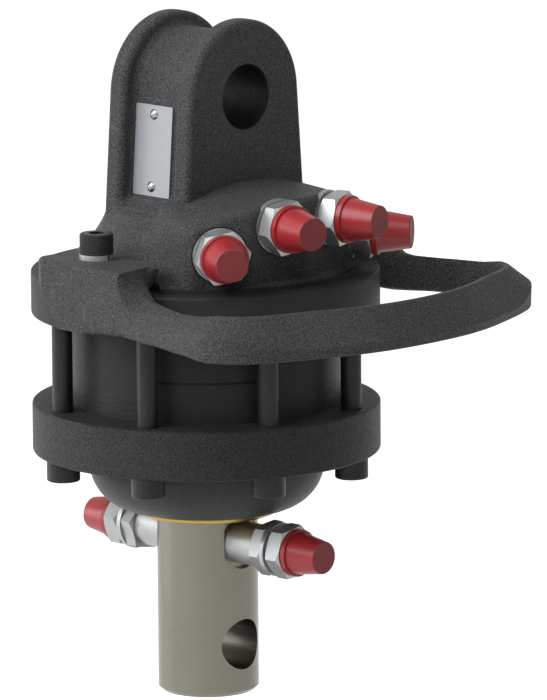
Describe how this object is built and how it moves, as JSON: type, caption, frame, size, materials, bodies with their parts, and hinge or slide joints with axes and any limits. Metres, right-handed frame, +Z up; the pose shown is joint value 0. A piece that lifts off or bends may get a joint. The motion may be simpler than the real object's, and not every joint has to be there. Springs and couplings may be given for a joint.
{
  "type": "hydraulic grapple rotator",
  "caption": "Compact hydraulic rotator for a small timber grapple: pin lug, capped hose ports, bent hose guard, flanged vane motor and a cross-bored output shaft that turns without end.",
  "frame": {"origin": "centre of the boom pin bore in the suspension lug", "axes": "+Z up along the rotor shaft, +X along the boom pin bore to the side that the upper hose ports face, the data plate faces -Y"},
  "size_m": [0.1904, 0.1766, 0.267],
  "materials": {
    "cast_paint": "satin black paint over a rough casting",
    "black_steel": "black oxide",
    "zinc_steel": "bright zinc plate",
    "plate_metal": "satin",
    "shaft_steel": "ground, with a warm grey tone",
    "hard_steel": "ground and hardened",
    "bronze": "machined bronze",
    "wiper_brass": "satin golden metal",
    "seal_plastic": "filled slippery plastic",
    "seal_rubber": "matt",
    "cap_plastic": "soft red polythene"
  },
  "bodies": {
    "housing": {"head_casting": "cast_paint", "hose_guard": "cast_paint", "lower_cover": "cast_paint", "cam_ring": "cast_paint", "guard_screw_front": "black_steel", "guard_screw_back": "black_steel", "long_bolts": "black_steel", "guard_washer_front": "zinc_steel", "guard_washer_back": "zinc_steel", "data_plate": "plate_metal", "plate_rivet_upper": "plate_metal", "plate_rivet_lower": "plate_metal", "bearing_washer_lower": "hard_steel", "bearing_balls": "hard_steel", "upper_bush": "bronze", "lower_bush": "bronze", "ball_cage": "bronze", "wiper_ring": "wiper_brass", "o_ring_upper": "seal_rubber", "o_ring_lower": "seal_rubber", "lip_seal": "seal_rubber", "port_seal_front_outer": "zinc_steel", "port_seal_front_inner": "zinc_steel", "port_seal_back_inner": "zinc_steel", "port_seal_back_outer": "zinc_steel", "port_adapter_front_outer": "zinc_steel", "port_adapter_front_inner": "zinc_steel", "port_adapter_back_inner": "zinc_steel", "port_adapter_back_outer": "zinc_steel"},
    "rotor": {"shaft": "shaft_steel", "rotor": "shaft_steel", "gallery_plugs": "shaft_steel", "bearing_washer_upper": "hard_steel", "vane_1": "hard_steel", "vane_2": "hard_steel", "vane_3": "hard_steel", "vane_4": "hard_steel", "vane_5": "hard_steel", "vane_6": "hard_steel", "vane_7": "hard_steel", "vane_8": "hard_steel", "swivel_seal_1": "seal_plastic", "swivel_seal_2": "seal_plastic", "swivel_seal_3": "seal_plastic", "shaft_nipple_right": "zinc_steel", "shaft_seal_right": "zinc_steel", "shaft_adapter_right": "zinc_steel", "shaft_nipple_left": "zinc_steel", "shaft_seal_left": "zinc_steel", "shaft_adapter_left": "zinc_steel"},
    "cap_front_outer": {"port_cap_front_outer": "cap_plastic"},
    "cap_front_inner": {"port_cap_front_inner": "cap_plastic"},
    "cap_back_inner": {"port_cap_back_inner": "cap_plastic"},
    "cap_back_outer": {"port_cap_back_outer": "cap_plastic"},
    "cap_right": {"shaft_cap_right": "cap_plastic"},
    "cap_left": {"shaft_cap_left": "cap_plastic"}
  },
  "joints": [
    {"name": "shaft_spin", "type": "hinge", "parent": "housing", "child": "rotor", "pos_m": [0, 0, -0.2], "axis": [0, 0, 1], "continuous": true},
    {"name": "cap_front_outer_pull", "type": "slide", "parent": "housing", "child": "cap_front_outer", "axis": [0.829, -0.5592, 0], "range_m": [0, 0.016]},
    {"name": "cap_front_inner_pull", "type": "slide", "parent": "housing", "child": "cap_front_inner", "axis": [0.9781, -0.2079, 0], "range_m": [0, 0.016]},
    {"name": "cap_back_inner_pull", "type": "slide", "parent": "housing", "child": "cap_back_inner", "axis": [0.9781, 0.2079, 0], "range_m": [0, 0.016]},
    {"name": "cap_back_outer_pull", "type": "slide", "parent": "housing", "child": "cap_back_outer", "axis": [0.829, 0.5592, 0], "range_m": [0, 0.016]},
    {"name": "cap_right_pull", "type": "slide", "parent": "rotor", "child": "cap_right", "axis": [1, 0, 0], "range_m": [0, 0.016]},
    {"name": "cap_left_pull", "type": "slide", "parent": "rotor", "child": "cap_left", "axis": [-1, 0, 0], "range_m": [0, 0.016]}
  ]
}
